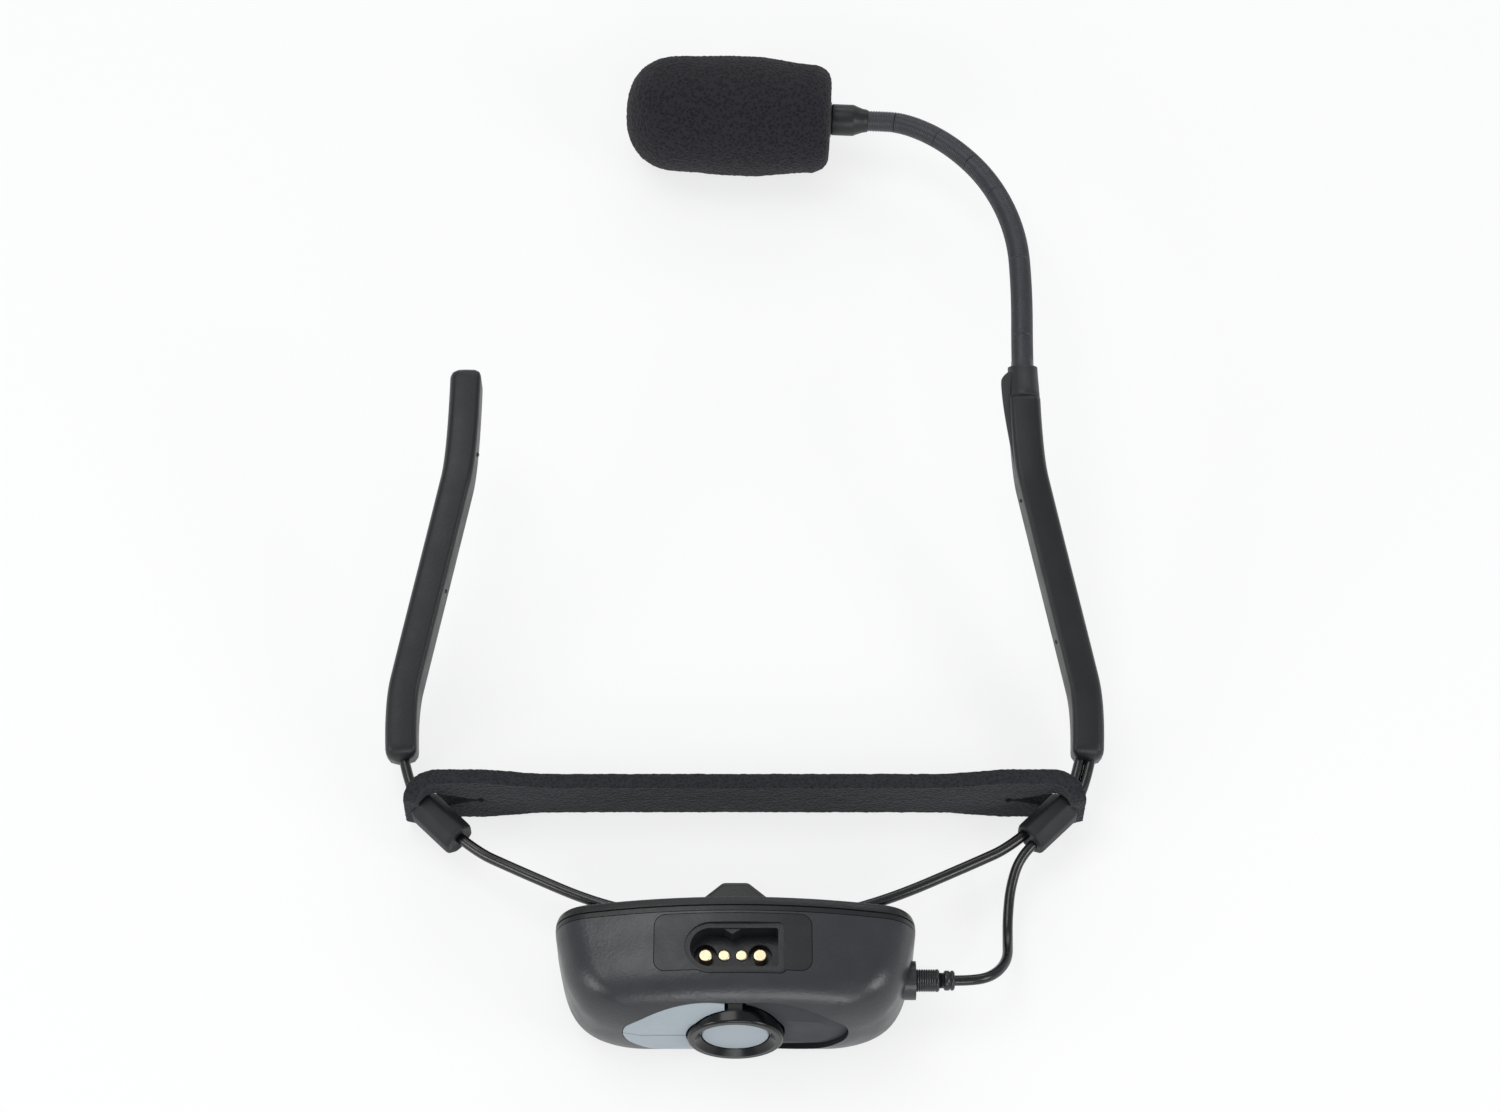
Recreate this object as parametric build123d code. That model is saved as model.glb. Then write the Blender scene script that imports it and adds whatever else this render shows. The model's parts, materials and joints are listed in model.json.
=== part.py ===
from build123d import *
import math
import os

# Headset microphone with a transmitter worn on the neck band. Millimetres.
# +Y points forward to the microphone, +X to the wearer's right, +Z up.
# The origin is on the flat bottom of the transmitter, in the middle of its length.

os.makedirs("parts", exist_ok=True)

# ---------------------------------------------------------------- driving sizes
# Transmitter housing
housing_half_width = 32.3
housing_height = 26.8
housing_crown = 5.2
housing_corner = 7.5
head_side_y = 10.4
seam_y = 7.3
rear_y = -10.8
wall = 1.6
seam_gap = 0.12
fit_gap = 0.12

# Charging contacts, in a well on top
panel_left = -14.3
panel_right = 13.5
panel_rear = -3.9
well_length = 15.6
well_width = 7.4
well_depth = 4.3
well_centre_y = 0.5
rim_width = 1.3
contact_pitch_outer = 9.7
contact_pitch_inner = 3.1
contact_outer_diameter = 2.5
contact_inner_diameter = 2.2
contact_cup_diameter = 4.2

# Controls on the rear face
control_z = 13.4
ring_outer = 17.1
ring_inner = 14.3
power_diameter = 12.0
ring_front_y = -11.9
ring_depth = 3.6
power_recess = 1.0
power_thickness = 2.2
power_travel = 0.5
wing_reach = 20.0
wing_half_height = 9.9
wing_tip_half_height = 3.3
wing_start = 1.9
wing_thickness = 1.3
wing_travel = 0.35
stem_width = 2.5

# Jack, plug and lead
jack_y = 0.8
jack_z = 11.0
boss_diameter = 7.0
boss_face_x = 32.4
plug_diameter = 4.1
plug_length = 4.2
plug_neck = 0.9
plug_collar = 1.9
plug_pin_diameter = 2.5
plug_pin_length = 8.0
lead_diameter = 1.9

# Band wire, beads and neck strap
band_centre_x = 1.6
wire_diameter = 2.0
bore_gap = 0.05
wire_clip_y = 12.7
wire_clip_z = 12.0
bead_length = 10.0
bead_width = 6.2
bead_height = 7.0
bead_offset = 56.35
bead_y = 34.35
bead_z = 7.0
bead_angle = 45.0
strand_spacing = 2.15
strap_thickness = 3.0
strap_y = 40.6
strap_height = 10.3
lobe_height = 14.0
hook_radius = 6.5
hook_centre_offset = 55.6
hook_end_angle = 32.0
slit_height = 8.0
slit_end_y = 33.6
keyhole_offset = 49.4
keyhole_diameter = 1.6
keyhole_neck_half = 0.35
strap_narrow_to = 36.0
strap_wide_from = 50.0
strap_bend_radius = 18.0

# Ear arms
arm_width = 6.0
arm_depth = 7.4
arm_rear = (64.2, 46.3, 8.0)
arm_bend_low = (64.9, 56.0, 10.6)
arm_bend_high = (53.9, 103.0, 26.0)
arm_front_y = 122.0
arm_front_z = 27.0
socket_seam_y = 114.7
socket_mouth_y = 124.5
socket_mouth_diameter = 5.3

# Boom and microphone
boom_diameter = 4.3
boom_bore = 2.4
boom_links = 8
link_gap = 1.0
mic_axis_z = 12.6
mic_axis_tilt = 2.8
mic_face = (19.7, 195.4)
boot_diameter = 6.5
boot_length = 4.9
boot_taper = 2.7
capsule_diameter = 8.4
capsule_length = 19.0
windscreen_length = 43.0
windscreen_radius = 12.6
windscreen_gap = 0.05
windscreen_travel = 24.0

written = {}


def save(name, shape):
    """Write one sub-part to its own file, with its solids kept apart."""
    export_step(shape, f"parts/{name}.step")
    written[name] = shape
    return shape


def place(plane_origin, direction, up=(0, 0, 1)):
    """A plane whose normal runs along a direction."""
    side = Vector(*up).cross(Vector(*direction))
    return Plane(origin=plane_origin, x_dir=side, z_dir=direction)


def corner_radii(points, share=0.45):
    """The largest arc at each corner that leaves part of both runs straight."""
    radii = []
    for before, here, after in zip(points, points[1:], points[2:]):
        run_in = Vector(*here) - Vector(*before)
        run_out = Vector(*after) - Vector(*here)
        turn = math.radians(run_in.get_angle(run_out))
        radii.append(share * min(run_in.length, run_out.length) / math.tan(turn / 2))
    return radii


def route(points, end_radius=None):
    """Straight runs joined by tangent arcs, with a smaller first and last arc if one is given."""
    radii = corner_radii(points)
    if end_radius:
        radii[0] = end_radius
        radii[-1] = end_radius
    return FilletPolyline(*points, radius=radii)


def tube(points, outer, inner=0.0, end_radius=None):
    """A round bar or tube along a route."""
    path = route(points, end_radius)
    start = Plane(origin=path @ 0, z_dir=path % 0)
    section = Circle(outer / 2)
    if inner > 0:
        section = section - Circle(inner / 2)
    return sweep(start * section, path=path)


def side_step(points, distance):
    """The same route, moved sideways in the horizontal plane."""
    moved = []
    last = len(points) - 1
    for index, here in enumerate(points):
        before = points[max(index - 1, 0)]
        after = points[min(index + 1, last)]
        run = Vector(after[0] - before[0], after[1] - before[1], 0).normalized()
        moved.append((here[0] + run.Y * distance, here[1] - run.X * distance, here[2]))
    return moved


def on_band(points, side):
    """Mirror a half-route to one side of the band and shift it to the band's centre."""
    return [(band_centre_x + side * x, y, z) for x, y, z in points]


# ---------------------------------------------------------------- housing surface
# Each station: distance forward, half width, lowest and highest z, corner radius.
mid_z = housing_height / 2
housing_stations = [
    (head_side_y, housing_half_width - 0.7, 0.4, housing_height - 0.5, housing_corner - 0.5),
    (seam_y, housing_half_width, -0.3, housing_height, housing_corner),
    (1.0, housing_half_width - 1.2, -0.3, housing_height, housing_corner),
    (-4.0, housing_half_width - 2.9, -0.1, housing_height - 0.1, housing_corner),
    (-7.5, housing_half_width - 5.5, 1.5, housing_height - 1.5, housing_corner),
    (-9.4, housing_half_width - 8.7, 3.9, housing_height - 3.9, housing_corner - 0.5),
    (-10.4, housing_half_width - 12.8, 6.6, housing_height - 6.6, housing_corner - 2.5),
    (rear_y - 0.1, housing_half_width - 19.0, 9.2, housing_height - 9.2, 2.6),
]


def housing_section(y, half_width, low, high, corner, inset):
    half_width = half_width - inset
    low = low + inset
    high = high - inset
    side_top = high - housing_crown * (half_width / housing_half_width) ** 2
    outline = make_face([
        Line((-half_width, low), (half_width, low)),
        Line((half_width, low), (half_width, side_top)),
        ThreePointArc((half_width, side_top), (0, high), (-half_width, side_top)),
        Line((-half_width, side_top), (-half_width, low)),
    ])
    radius = min(max(corner - inset, 0.6), (side_top - low) * 0.45)
    return Plane.XZ.offset(-y) * fillet(outline.vertices(), radius)


def housing_body(inset):
    """The whole outer form of the transmitter, or the same form set in by a wall."""
    sections = []
    for y, half_width, low, high, corner in housing_stations:
        shift = inset if y < -3 else 0
        sections.append(housing_section(y + shift, half_width, low, high, corner, inset))
    form = loft(sections)
    keep = Pos(0, rear_y + inset + 20, inset + 20) * Box(100, 40, 40)
    return form & keep


def slab(y_from, y_to):
    """Everything between two distances forward."""
    return Pos(0, (y_from + y_to) / 2, mid_z) * Box(100, y_to - y_from, 60)


def rod_y(x, z, diameter, y_from, y_to):
    return Pos(x, (y_from + y_to) / 2, z) * Rot(90, 0, 0) * Cylinder(diameter / 2, y_to - y_from)


def rod_x(y, z, diameter, x_from, x_to):
    return Pos((x_from + x_to) / 2, y, z) * Rot(0, 90, 0) * Cylinder(diameter / 2, x_to - x_from)


def block(x_from, x_to, y_from, y_to, z_from, z_to):
    centre = Pos((x_from + x_to) / 2, (y_from + y_to) / 2, (z_from + z_to) / 2)
    return centre * Box(x_to - x_from, y_to - y_from, z_to - z_from)


outer_form = housing_body(0)
inner_form = housing_body(wall)

# ---------------------------------------------------------------- contact well outlines
well_front_y = well_centre_y + well_width / 2
well_rear_y = well_centre_y - well_width / 2
well_left_x = -well_length / 2 - 0.2
well_right_x = well_left_x + well_length
panel_floor_z = housing_height - well_depth - 1.6


def well_outline(grow):
    """Round at the left end and square at the right end."""
    radius = well_width / 2 + grow
    left_centre = well_left_x + well_width / 2
    right = well_right_x + grow
    shape = Pos(left_centre, well_centre_y) * Circle(radius)
    straight = Pos((left_centre + right) / 2, well_centre_y) * Rectangle(right - left_centre, 2 * radius)
    joined = shape + straight
    return fillet([v for v in joined.vertices() if v.X > right - 0.1], 0.5 + grow * 0.4)


def insert_prism(grow, z_from, z_to):
    panel_front = seam_y - 0.5
    size_x = panel_right - panel_left + 2 * grow
    size_y = panel_front - panel_rear + 2 * grow
    centre_y = (panel_front + panel_rear) / 2
    panel = Pos((panel_left + panel_right) / 2, centre_y) * RectangleRounded(size_x, size_y, 2.0 + grow)
    outline = panel + well_outline(rim_width + grow)
    return Pos(0, 0, z_from) * extrude(outline, z_to - z_from)


def wing_outline(side, grow):
    """A leaf that is tall beside the ring and rounds off at its outer end."""
    start = wing_start - grow
    tall = wing_half_height + grow
    tip = wing_tip_half_height + grow * 0.4
    reach = wing_reach + grow
    shoulder = 0.62 * reach
    leaf = make_face([
        Line((start, -tall), (start, tall)),
        ThreePointArc((start, tall), (shoulder, tall * 0.84), (reach - 0.9, tip)),
        ThreePointArc((reach - 0.9, tip), (reach, 0), (reach - 0.9, -tip)),
        ThreePointArc((reach - 0.9, -tip), (shoulder, -tall * 0.84), (start, -tall)),
    ])
    if side < 0:
        leaf = mirror(leaf, about=Plane.YZ)
    return leaf


def control_prism(outline, y_from, y_to):
    """Push an outline drawn in the X-Z plane from one distance to another."""
    flat = Plane(origin=(0, y_from, control_z), x_dir=(1, 0, 0), z_dir=(0, -1, 0)) * outline
    return extrude(flat, -(y_to - y_from))


control_front = ring_front_y - 2
control_back = rear_y + 6.5
ring_opening = rod_y(0, control_z, ring_outer + 2 * fit_gap, control_front, control_back)
stem_half = stem_width / 2
stem_top = control_z + wing_half_height + fit_gap
stem_opening = block(-wing_start - fit_gap, wing_start + fit_gap, control_front, control_back,
                     control_z + ring_outer / 2 - 1.2, stem_top + fit_gap)

# ---------------------------------------------------------------- housing shells
board_y = -3.6
board_thickness = 1.0
board_rear_y = board_y - board_thickness
board_hole = 1.8
board_pegs = [(-20.5, 5.5), (18.0, 5.5)]
jack_body_diameter = 5.0
jack_body_back = 21.5
screw_x = 23.5
screw_low_z = 5.4
screw_high_z = 18.6
post_half = 1.9
seal_back_y = seam_y - 1.3
screw_diameter = 1.6
screw_head = 2.8
screw_length = 7.0
screw_places = [(sx * screw_x, z) for sx in (-1, 1) for z in (screw_low_z, screw_high_z)]


def main_shell():
    shell = (outer_form & slab(rear_y - 1, seam_y)) - inner_form
    for x, z in screw_places:
        z_from = 0.8 if z < mid_z else z - post_half
        z_to = z + post_half if z < mid_z else housing_height
        foot = block(x - post_half, x + post_half, -2.5, seal_back_y - 0.2, z_from, z_to)
        shell += foot & housing_body(0.6)
        shell += block(x - post_half, x + post_half, -2.5, seam_y - 0.1, z - post_half, z + post_half)
    for x, z in board_pegs:
        shell += rod_y(x, z, 3.2, rear_y, board_rear_y) & housing_body(0.6)
        shell += rod_y(x, z, board_hole - 0.2, board_rear_y - 1, board_y + 0.4)
    boss = rod_x(jack_y, jack_z, boss_diameter, 26.5, boss_face_x)
    shell += boss
    for side in (-1, 1):
        shell -= control_prism(wing_outline(side, fit_gap), control_front, control_back)
    shell -= ring_opening
    shell -= stem_opening
    shell -= insert_prism(fit_gap, panel_floor_z - 0.2, housing_height + 2)
    shell -= rod_x(jack_y, jack_z, jack_body_diameter + 2 * bore_gap, 20.0, boss_face_x - 1.2)
    shell -= rod_x(jack_y, jack_z, plug_pin_diameter + 0.5, 20.0, boss_face_x + 1)
    for x, z in screw_places:
        shell -= rod_y(x, z, screw_diameter, seam_y - screw_length, seam_y + 1)
    return shell


clip_half_width = 9.2
clip_flank = 0.6
clip_top_half_width = 2.3
clip_low_z = 5.5
clip_high_z = 18.5
clip_front_y = 16.9
clip_screw_z = (clip_low_z + 2.1, clip_high_z - 2.1)
mid_clip_z = (clip_low_z + clip_high_z) / 2
half_clip = (clip_high_z - clip_low_z) / 2


def back_cover():
    cover_start = seam_y + seam_gap
    cover = outer_form & slab(cover_start, head_side_y + 1)
    rim = [e for e in cover.edges() if abs(e.center().Y - head_side_y) < 0.02]
    cover = fillet(rim, 0.9)
    pocket = inner_form & slab(cover_start - 1, head_side_y - wall + 0.2)
    cover -= pocket
    groove = (outer_form - housing_body(0.3)) & slab(cover_start + 0.85, cover_start + 1.15)
    cover -= groove
    for x, z in screw_places:
        post = block(x - 2.0, x + 2.0, cover_start, head_side_y - 0.5, z - 2.0, z + 2.0)
        cover += post & housing_body(1.0)
        cover -= rod_y(x, z, screw_diameter + 0.2, cover_start - 1, head_side_y + 1)
        cover -= rod_y(x, z, screw_head + 0.2, head_side_y - 1.1, head_side_y + 1)
    for z in clip_screw_z:
        cover += rod_y(0, z, 4.4, head_side_y - 2.4, head_side_y - 0.5)
        cover -= rod_y(0, z, screw_diameter + 0.2, seam_y, head_side_y + 1)
    return cover


def cover_seal():
    """A rubber ring inside the mouth of the shell."""
    outer_ring = housing_body(wall + 0.05) & slab(seal_back_y, seam_y + seam_gap)
    ring = outer_ring - housing_body(wall + 0.6)
    return ring - insert_prism(0.3, panel_floor_z - 0.3, housing_height)


def contact_insert():
    body = outer_form & insert_prism(0, panel_floor_z, housing_height + 2)
    rim = Pos(0, 0, housing_height - 0.6) * extrude(well_outline(rim_width * 0.75), 3)
    floor_z = housing_height - well_depth
    well = Pos(0, 0, floor_z) * extrude(well_outline(0), 10)
    key_width = 3.2
    key = make_face(Polyline((-key_width / 2, 0), (key_width / 2, 0), (0, -1.1), close=True))
    key_solid = Pos(-0.5, well_front_y + 0.02, floor_z) * extrude(key, well_depth - 0.9)
    body = body - rim - well
    body += key_solid & block(-3, 3, -5, well_front_y + 0.5, floor_z - 0.2, housing_height)
    for x in contact_outer_x:
        cup = Pos(x, well_centre_y, floor_z - 0.7) * Cylinder(contact_cup_diameter / 2, 1.4)
        body -= cup
    for x, diameter in contact_places:
        body -= Pos(x, well_centre_y, floor_z - 1.0) * Cylinder(diameter / 2 + bore_gap, 6)
    return body


contact_middle_x = -0.45
contact_outer_x = [contact_middle_x + s * contact_pitch_outer / 2 for s in (-1, 1)]
contact_inner_x = [contact_middle_x + s * contact_pitch_inner / 2 for s in (-1, 1)]
contact_places = [(x, contact_outer_diameter) for x in contact_outer_x]
contact_places += [(x, contact_inner_diameter) for x in contact_inner_x]


def charging_contacts():
    """Four gold pins with low domes, side by side on the well's floor."""
    floor_z = housing_height - well_depth
    pins = []
    for x, diameter in contact_places:
        length = 2.2
        pin = Cylinder(diameter / 2, length)
        pin = fillet(pin.edges().sort_by(Axis.Z)[-1], 0.3)
        pins.append(Pos(x, well_centre_y, floor_z + 0.25 - length / 2) * pin)
    return Compound(children=pins)


# ---------------------------------------------------------------- controls
def button_ring():
    """A proud ring round the power button, with a short stem above it."""
    back_y = ring_front_y + ring_depth
    ring = rod_y(0, control_z, ring_outer, ring_front_y, back_y)
    front_edge = [e for e in ring.edges() if abs(e.center().Y - ring_front_y) < 0.01]
    ring = fillet(front_edge, 0.5)
    ring -= rod_y(0, control_z, power_diameter + 2 * fit_gap, ring_front_y - 1, back_y + 1)
    cone_depth = 1.0
    cone = Pos(0, ring_front_y + cone_depth / 2 - 0.01, control_z) * Rot(90, 0, 0) * Cone(
        power_diameter / 2 + fit_gap, ring_inner / 2 + 0.1, cone_depth + 0.02)
    ring -= cone
    stem = outer_form - housing_body(wing_thickness)
    stem = stem & block(-stem_half, stem_half, -13, -5, control_z + ring_outer / 2 - 0.7, stem_top)
    return ring + stem


def power_button():
    front_y = ring_front_y + power_recess
    button = rod_y(0, control_z, power_diameter, front_y, front_y + power_thickness)
    front_edge = [e for e in button.edges() if abs(e.center().Y - front_y) < 0.01]
    return fillet(front_edge, 0.35)


wing_skin = outer_form - housing_body(wing_thickness)


def wing_piece(side, z_from, z_to):
    leaf = wing_skin & control_prism(wing_outline(side, 0), control_front, control_back)
    leaf = leaf - rod_y(0, control_z, ring_outer + 0.5, control_front, control_back)
    return leaf & block(-40, 40, -20, 0, z_from, z_to)


split_gap = 0.12
window_recess = 0.8


def sensor_window():
    """The right wing: a matt cover set a little below the shell's surface."""
    skin = housing_body(window_recess) - housing_body(window_recess + wing_thickness)
    leaf = skin & control_prism(wing_outline(1, 0), control_front, control_back)
    return leaf - rod_y(0, control_z, ring_outer + 0.5, control_front, control_back)


def key_membrane():
    """A rubber sheet behind the keys, held between them and the switches."""
    gap = wing_thickness + wing_travel + 0.25
    sheet = housing_body(gap) - housing_body(gap + 0.5)
    left = control_prism(wing_outline(-1, -0.6), control_front, control_back + 2)
    sheet = sheet & left
    return sheet - rod_y(0, control_z, ring_outer + 0.6, control_front, control_back + 3)


# ---------------------------------------------------------------- inside the housing
switch_height = 1.4


def circuit_board():
    board = block(-23.5, 20.5, board_rear_y, board_y, 3.0, 19.8)
    for x, z in board_pegs:
        board -= rod_y(x, z, board_hole, board_rear_y - 1, board_y + 1)
    return board


def tact_switch(x, z, plunger_top):
    """A square switch on the board, with its plunger up to the key above it."""
    base = block(x - 1.5, x + 1.5, board_rear_y - switch_height, board_rear_y, z - 1.5, z + 1.5)
    return base + rod_y(x, z, 1.6, plunger_top, board_rear_y - switch_height)


def power_switch():
    return tact_switch(0, control_z, ring_front_y + power_recess + power_thickness + power_travel + 0.15)


wing_key_x = -12.5
wing_key_rise = 4.0


def wing_switches():
    top = -7.0
    return Compound(children=[
        tact_switch(wing_key_x, control_z + wing_key_rise, top),
        tact_switch(wing_key_x, control_z - wing_key_rise, top),
    ])


def status_light():
    lamp = block(11.0, 13.0, board_rear_y - 0.9, board_rear_y, control_z - 0.7, control_z + 0.7)
    lens = rod_y(12.0, control_z, 1.2, board_rear_y - 1.3, board_rear_y - 0.9)
    return lamp + lens


def battery_cell():
    cell = block(-12.0, 19.5, board_y + 0.7, seam_y - 1.7, wall + 0.3, 18.3)
    return fillet(cell.edges().filter_by(Axis.X), 1.2)


def shield_can():
    return block(-21.0, -13.0, board_y, board_y + 2.2, 7.6, 16.4)


def antenna_strip():
    return block(-20.5, -13.5, board_y, board_y + 0.5, 17.2, 19.2)


def jack_socket():
    barrel = rod_x(jack_y, jack_z, jack_body_diameter, jack_body_back, boss_face_x - 1.3)
    bore_diameter = plug_pin_diameter + 2 * bore_gap
    return barrel - rod_x(jack_y, jack_z, bore_diameter, jack_body_back + 1.2, boss_face_x)


def cover_screws():
    screws = []
    for x, z in screw_places:
        head = rod_y(x, z, screw_head, head_side_y - 1.1, head_side_y - 0.15)
        head -= block(x - 1.0, x + 1.0, head_side_y - 0.55, head_side_y, z - 0.18, z + 0.18)
        head -= block(x - 0.18, x + 0.18, head_side_y - 0.55, head_side_y, z - 1.0, z + 1.0)
        shank = rod_y(x, z, screw_diameter - 0.02, seam_y - screw_length + 1, head_side_y - 1.1)
        screws.append(head + shank)
    return Compound(children=screws)


# ---------------------------------------------------------------- clip on the cover
def wire_clip():
    """A wedge on the head side of the cover that the band wire runs through."""
    wedge = make_face(Polyline(
        (-clip_half_width, head_side_y),
        (clip_half_width, head_side_y),
        (clip_half_width, head_side_y + clip_flank),
        (clip_top_half_width, clip_front_y),
        (-clip_top_half_width, clip_front_y),
        (-clip_half_width, head_side_y + clip_flank),
        close=True,
    ))
    tips = [v for v in wedge.vertices() if v.Y > clip_front_y - 0.1]
    wedge = fillet(tips, 1.4)
    clip = Pos(0, 0, clip_low_z) * extrude(wedge, clip_high_z - clip_low_z)
    away = clip.edges().filter_by(lambda e: e.center().Y > head_side_y + 0.3)
    ends = [e for e in away if abs(abs(e.center().Z - mid_clip_z) - half_clip) < 0.01]
    clip = fillet(ends, 0.8)
    clip -= rod_x(wire_clip_y, wire_clip_z, wire_diameter + 2 * bore_gap, -9, 9)
    for z in clip_screw_z:
        clip -= rod_y(0, z, screw_diameter, head_side_y - 1, head_side_y + 3.0)
    return clip


def clip_screws():
    screws = []
    for z in clip_screw_z:
        head = rod_y(0, z, screw_head, head_side_y - 3.3, head_side_y - 2.45)
        shank = rod_y(0, z, screw_diameter - 0.02, head_side_y - 2.45, head_side_y + 2.6)
        screws.append(head + shank)
    return Compound(children=screws)


# ---------------------------------------------------------------- beads, wire and strap
diagonal = math.cos(math.radians(bead_angle))
half_bead = bead_length / 2 * diagonal
bead_near = (bead_offset - half_bead, bead_y - half_bead, bead_z)
bead_far = (bead_offset + half_bead, bead_y + half_bead, bead_z)
past_bead = 2.2
bead_exit_radius = 14.0
lead_in = (bead_near[0] - past_bead, bead_near[1] - past_bead, bead_z)
lead_out = (bead_far[0] + past_bead, bead_far[1] + past_bead, bead_z)
band_shoulder = (42.0, 23.6, 9.4)
band_elbow = (26.5, 15.4, 11.6)
band_straight = (13.5, wire_clip_y, wire_clip_z)


def bead(side, bores):
    """A six-sided rubber slider with one bore for each strand through it."""
    half_w = bead_width / 2
    half_h = bead_height / 2
    hexagon = make_face(Polyline(
        (-half_w, -half_h * 0.45), (-half_w * 0.35, -half_h), (half_w * 0.35, -half_h),
        (half_w, -half_h * 0.45), (half_w, half_h * 0.45), (half_w * 0.35, half_h),
        (-half_w * 0.35, half_h), (-half_w, half_h * 0.45), close=True))
    hexagon = fillet(hexagon.vertices(), 0.7)
    centre = (band_centre_x + side * bead_offset, bead_y, bead_z)
    plane = place(centre, (side * diagonal, diagonal, 0))
    solid = extrude(plane * hexagon, bead_length / 2, both=True)
    for offset in bores:
        hole = plane * (Pos(offset, 0) * Circle(wire_diameter / 2 + bore_gap))
        solid -= extrude(hole, bead_length, both=True)
    return solid


half_spacing = strand_spacing / 2
left_half = [band_straight, band_elbow, band_shoulder, lead_in, bead_far]
left_points = on_band(left_half, -1)
right_points = side_step(on_band(left_half, 1), -half_spacing)
right_points[0] = on_band([band_straight], 1)[0]
band_route = list(reversed(left_points)) + right_points


def strap_plan():
    """The strap seen from above: a straight band with a hook at each end."""
    outline = Pos(0, strap_y) * Rectangle(2 * hook_centre_offset, strap_thickness)
    centre_y = strap_y - hook_radius
    for side in (-1, 1):
        ring = Circle(hook_radius + strap_thickness / 2) - Circle(hook_radius - strap_thickness / 2)
        ring = Pos(side * hook_centre_offset, centre_y) * ring
        far = hook_radius * 4
        end = math.radians(hook_end_angle)
        keep = make_face(Polyline(
            (side * hook_centre_offset, centre_y),
            (side * hook_centre_offset, centre_y + far),
            (side * (hook_centre_offset + far), centre_y + far),
            (side * (hook_centre_offset + far * math.cos(end)), centre_y - far * math.sin(end)),
            close=True))
        outline += ring & keep
    return Pos(band_centre_x, 0) * outline


def strap_elevation():
    """The strap seen from behind: it widens from its middle to a lobe at each end."""
    half_low = strap_height / 2
    half_high = lobe_height / 2
    reach = hook_centre_offset + hook_radius + strap_thickness
    half = [
        (0, half_low), (strap_narrow_to, half_low), (strap_wide_from, half_high), (reach, half_high),
        (reach, -half_high), (strap_wide_from, -half_high), (strap_narrow_to, -half_low), (0, -half_low),
    ]
    right = make_face(Polyline(*half, close=True))
    bends = [v for v in right.vertices() if strap_narrow_to - 1 < v.X < strap_wide_from + 1]
    right = fillet(bends, strap_bend_radius)
    return right + mirror(right, about=Plane.YZ)


def neck_strap():
    plan = extrude(strap_plan(), lobe_height)
    face = Plane(origin=(band_centre_x, strap_y + 10, lobe_height / 2), x_dir=(1, 0, 0), z_dir=(0, -1, 0))
    strap = plan & extrude(face * strap_elevation(), 40)
    for side in (-1, 1):
        x_in = side * keyhole_offset
        x_open = side * (hook_centre_offset - 0.5)
        x_out = side * (hook_centre_offset + hook_radius + 4)
        slit = make_face(Polyline(
            (x_in, keyhole_neck_half), (x_open, slit_height / 2), (x_out, slit_height / 2),
            (x_out, -slit_height / 2), (x_open, -slit_height / 2), (x_in, -keyhole_neck_half), close=True))
        slit = slit + Pos(x_in, 0) * Circle(keyhole_diameter / 2)
        strap -= extrude(face * slit, strap_y + 10 - slit_end_y)
    return strap


arm_line = [bead_far, lead_out, (64.3, 48.6, 8.6), arm_bend_low, arm_bend_high]
joint_gap = 0.35
hinge_place = (bead_far[0] + joint_gap * diagonal, bead_far[1] + joint_gap * diagonal, bead_z)


def arm_strand_points(side, distance, end_y):
    """A strand from just outside the bead into the arm, up to a distance forward."""
    points = [hinge_place] + arm_line[1:]
    last = (arm_bend_high[0] + 0.1 * (end_y - arm_bend_high[1]) / 19,
            end_y,
            arm_bend_high[2] + (end_y - arm_bend_high[1]) / 19)
    return side_step(on_band(points + [last], side), distance)


def arm_points(side, end_y):
    share = (end_y - arm_bend_high[1]) / (arm_front_y - arm_bend_high[1])
    front = (arm_bend_high[0] + 0.1 * share, end_y, arm_bend_high[2] + share * (arm_front_z - arm_bend_high[2]))
    return on_band([arm_rear, arm_bend_low, arm_bend_high, front], side)


def arm_bar(side, end_y):
    """A rounded rubber bar along the line of one ear arm."""
    path = route(arm_points(side, end_y))
    start = place(path @ 0, path % 0)
    section = start * RectangleRounded(arm_width, arm_depth, 2.2)
    return sweep(section, path=path)


def left_arm():
    bar = arm_bar(-1, arm_front_y)
    front = bar.edges().group_by(Axis.Y)[-1]
    bar = fillet(front, 1.6)
    return bar - tube(arm_strand_points(-1, 0, core_end_y), wire_diameter + 0.02)


core_end_y = 112.0


def right_arm():
    bar = arm_bar(1, socket_seam_y + 0.5) & block(0, 100, 0, socket_seam_y, 0, 60)
    bar -= tube(arm_strand_points(1, -half_spacing, core_end_y), wire_diameter + 0.02)
    bar -= tube(arm_strand_points(1, half_spacing, cable_end_y), lead_diameter + 0.02)
    return bar


cable_end_y = 113.5
socket_axis_x = band_centre_x + arm_bend_high[0] + 0.1
socket_axis_z = arm_front_z - 0.35


def socket_plane(y):
    """A plane across the boom's axis in the socket, facing forward."""
    return Plane(origin=(socket_axis_x, y, socket_axis_z), x_dir=(-1, 0, 0), z_dir=(0, 1, 0))


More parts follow.
